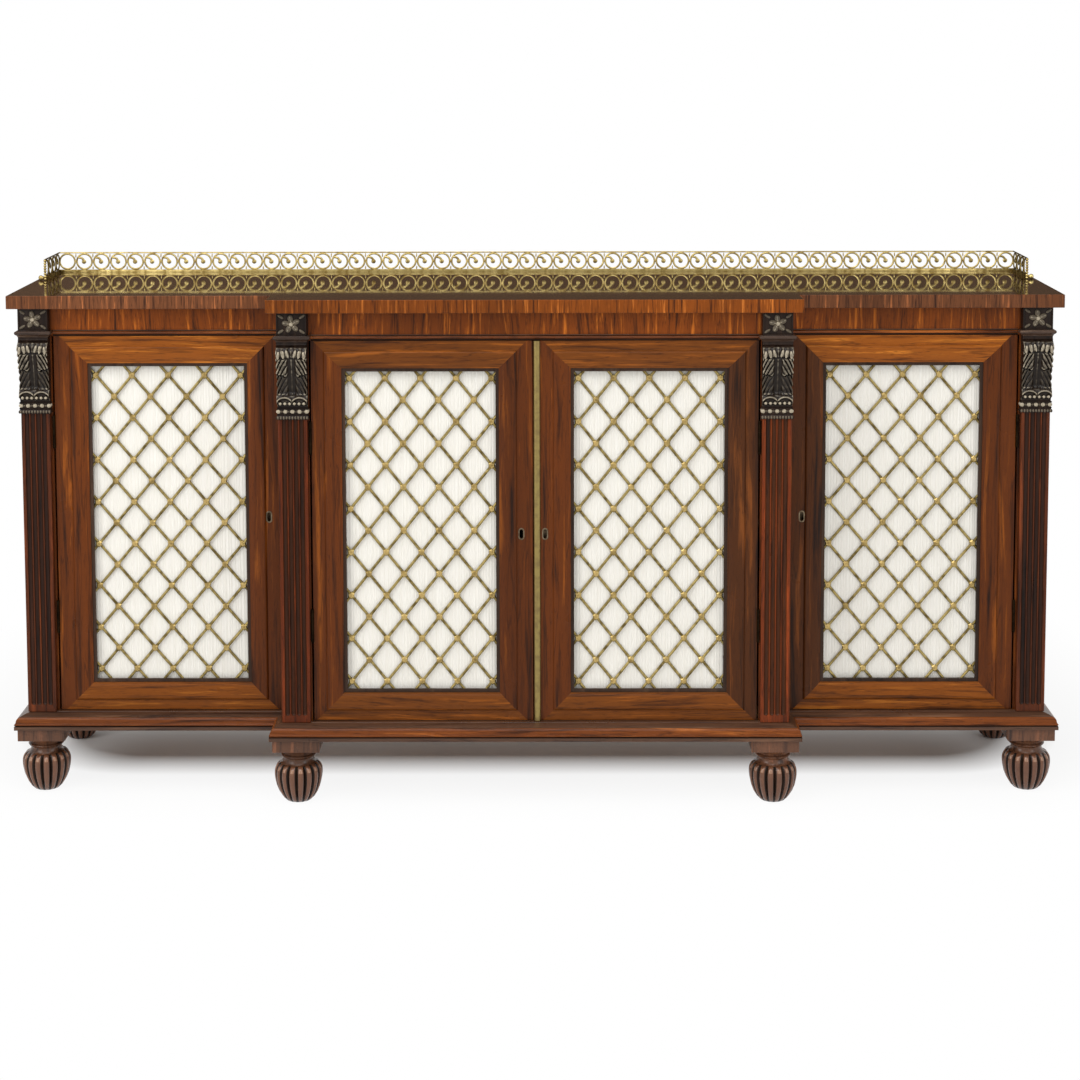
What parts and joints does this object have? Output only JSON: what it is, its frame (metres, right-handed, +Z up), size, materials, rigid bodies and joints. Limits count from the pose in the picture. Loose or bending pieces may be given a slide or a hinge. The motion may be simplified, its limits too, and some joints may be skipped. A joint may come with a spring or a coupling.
{
  "type": "breakfront side cabinet",
  "caption": "Low breakfront side cabinet with lattice-panelled hinged doors, fluted pilasters, lobed bun feet and a pierced brass gallery round the back of its top.",
  "frame": {"origin": "on the floor, under the middle of the cabinet's overall box", "axes": "+X to the viewer's right along the front, +Y towards the back, +Z up; the doors face -Y"},
  "size_m": [1.907, 0.4514, 0.962],
  "materials": {
    "rosewood": "french-polished rosewood veneer, glossy",
    "end_veneer": "polished rosewood veneer",
    "dark_rosewood": "polished solid rosewood",
    "carved_rosewood": "carved and darkened, waxed",
    "secondary_wood": "plain sawn and planed",
    "ebonised_slip": "ebonised",
    "brass": "lacquered, gently aged",
    "silk": "pleated silk"
  },
  "bodies": {
    "carcase": {"top_board": "rosewood", "front_stiles": "rosewood", "frieze_rails": "rosewood", "plinth": "rosewood", "left_end_panel": "end_veneer", "right_end_panel": "end_veneer", "outer_pilaster_shafts": "dark_rosewood", "centre_pilaster_shafts": "dark_rosewood", "frieze_bead": "dark_rosewood", "front_feet": "dark_rosewood", "back_feet": "dark_rosewood", "outer_pilaster_consoles": "carved_rosewood", "centre_pilaster_consoles": "carved_rosewood", "pilaster_neckings": "carved_rosewood", "pilaster_caps": "carved_rosewood", "rosette_blocks": "carved_rosewood", "left_partition": "secondary_wood", "right_partition": "secondary_wood", "bottom_boards": "secondary_wood", "back_boards": "secondary_wood", "left_shelf": "secondary_wood", "centre_shelf": "secondary_wood", "right_shelf": "secondary_wood", "shelf_bearers": "secondary_wood", "fixed_hinge_leaves": "brass", "gallery_back": "brass", "gallery_left_return": "brass", "gallery_right_return": "brass", "gallery_knobs": "brass"},
    "left_side_door": {"left_side_door_frame": "rosewood", "left_side_door_slip": "ebonised_slip", "left_side_door_grille": "brass", "left_side_door_silk": "silk", "left_side_door_hinge_leaves": "brass", "left_side_door_lock": "brass"},
    "left_centre_door": {"left_centre_door_frame": "rosewood", "left_centre_door_slip": "ebonised_slip", "left_centre_door_grille": "brass", "left_centre_door_silk": "silk", "left_centre_door_hinge_leaves": "brass", "left_centre_door_staple": "brass"},
    "right_centre_door": {"right_centre_door_frame": "rosewood", "right_centre_door_slip": "ebonised_slip", "right_centre_door_grille": "brass", "right_centre_door_silk": "silk", "right_centre_door_hinge_leaves": "brass", "right_centre_door_lock": "brass", "meeting_astragal": "brass"},
    "right_side_door": {"right_side_door_frame": "rosewood", "right_side_door_slip": "ebonised_slip", "right_side_door_grille": "brass", "right_side_door_silk": "silk", "right_side_door_hinge_leaves": "brass", "right_side_door_lock": "brass"},
    "left_side_bolt": {"left_side_door_lock_bolt": "brass"},
    "right_side_bolt": {"right_side_door_lock_bolt": "brass"},
    "right_centre_bolt": {"right_centre_door_lock_bolt": "brass"},
    "top_bolt": {"top_flush_bolt": "brass"},
    "bottom_bolt": {"bottom_flush_bolt": "brass"}
  },
  "joints": [
    {"name": "left_side_door_hinge", "type": "hinge", "parent": "carcase", "child": "left_side_door", "pos_m": [-0.8747, -0.12875, 0.4975], "axis": [0, 0, -1], "range_deg": [0, 90]},
    {"name": "left_centre_door_hinge", "type": "hinge", "parent": "carcase", "child": "left_centre_door", "pos_m": [-0.4017, -0.19275, 0.4975], "axis": [0, 0, -1], "range_deg": [0, 90]},
    {"name": "right_centre_door_hinge", "type": "hinge", "parent": "carcase", "child": "right_centre_door", "pos_m": [0.4017, -0.19275, 0.4975], "axis": [0, 0, 1], "range_deg": [0, 90]},
    {"name": "right_side_door_hinge", "type": "hinge", "parent": "carcase", "child": "right_side_door", "pos_m": [0.8747, -0.12875, 0.4975], "axis": [0, 0, 1], "range_deg": [0, 90]},
    {"name": "left_side_lock_slide", "type": "slide", "parent": "left_side_door", "child": "left_side_bolt", "axis": [1, 0, 0], "range_m": [0, 0.011]},
    {"name": "right_side_lock_slide", "type": "slide", "parent": "right_side_door", "child": "right_side_bolt", "axis": [-1, 0, 0], "range_m": [0, 0.011]},
    {"name": "right_centre_lock_slide", "type": "slide", "parent": "right_centre_door", "child": "right_centre_bolt", "axis": [-1, 0, 0], "range_m": [0, 0.011]},
    {"name": "top_bolt_slide", "type": "slide", "parent": "left_centre_door", "child": "top_bolt", "axis": [0, 0, 1], "range_m": [0, 0.009]},
    {"name": "bottom_bolt_slide", "type": "slide", "parent": "left_centre_door", "child": "bottom_bolt", "axis": [0, 0, -1], "range_m": [0, 0.009]}
  ]
}
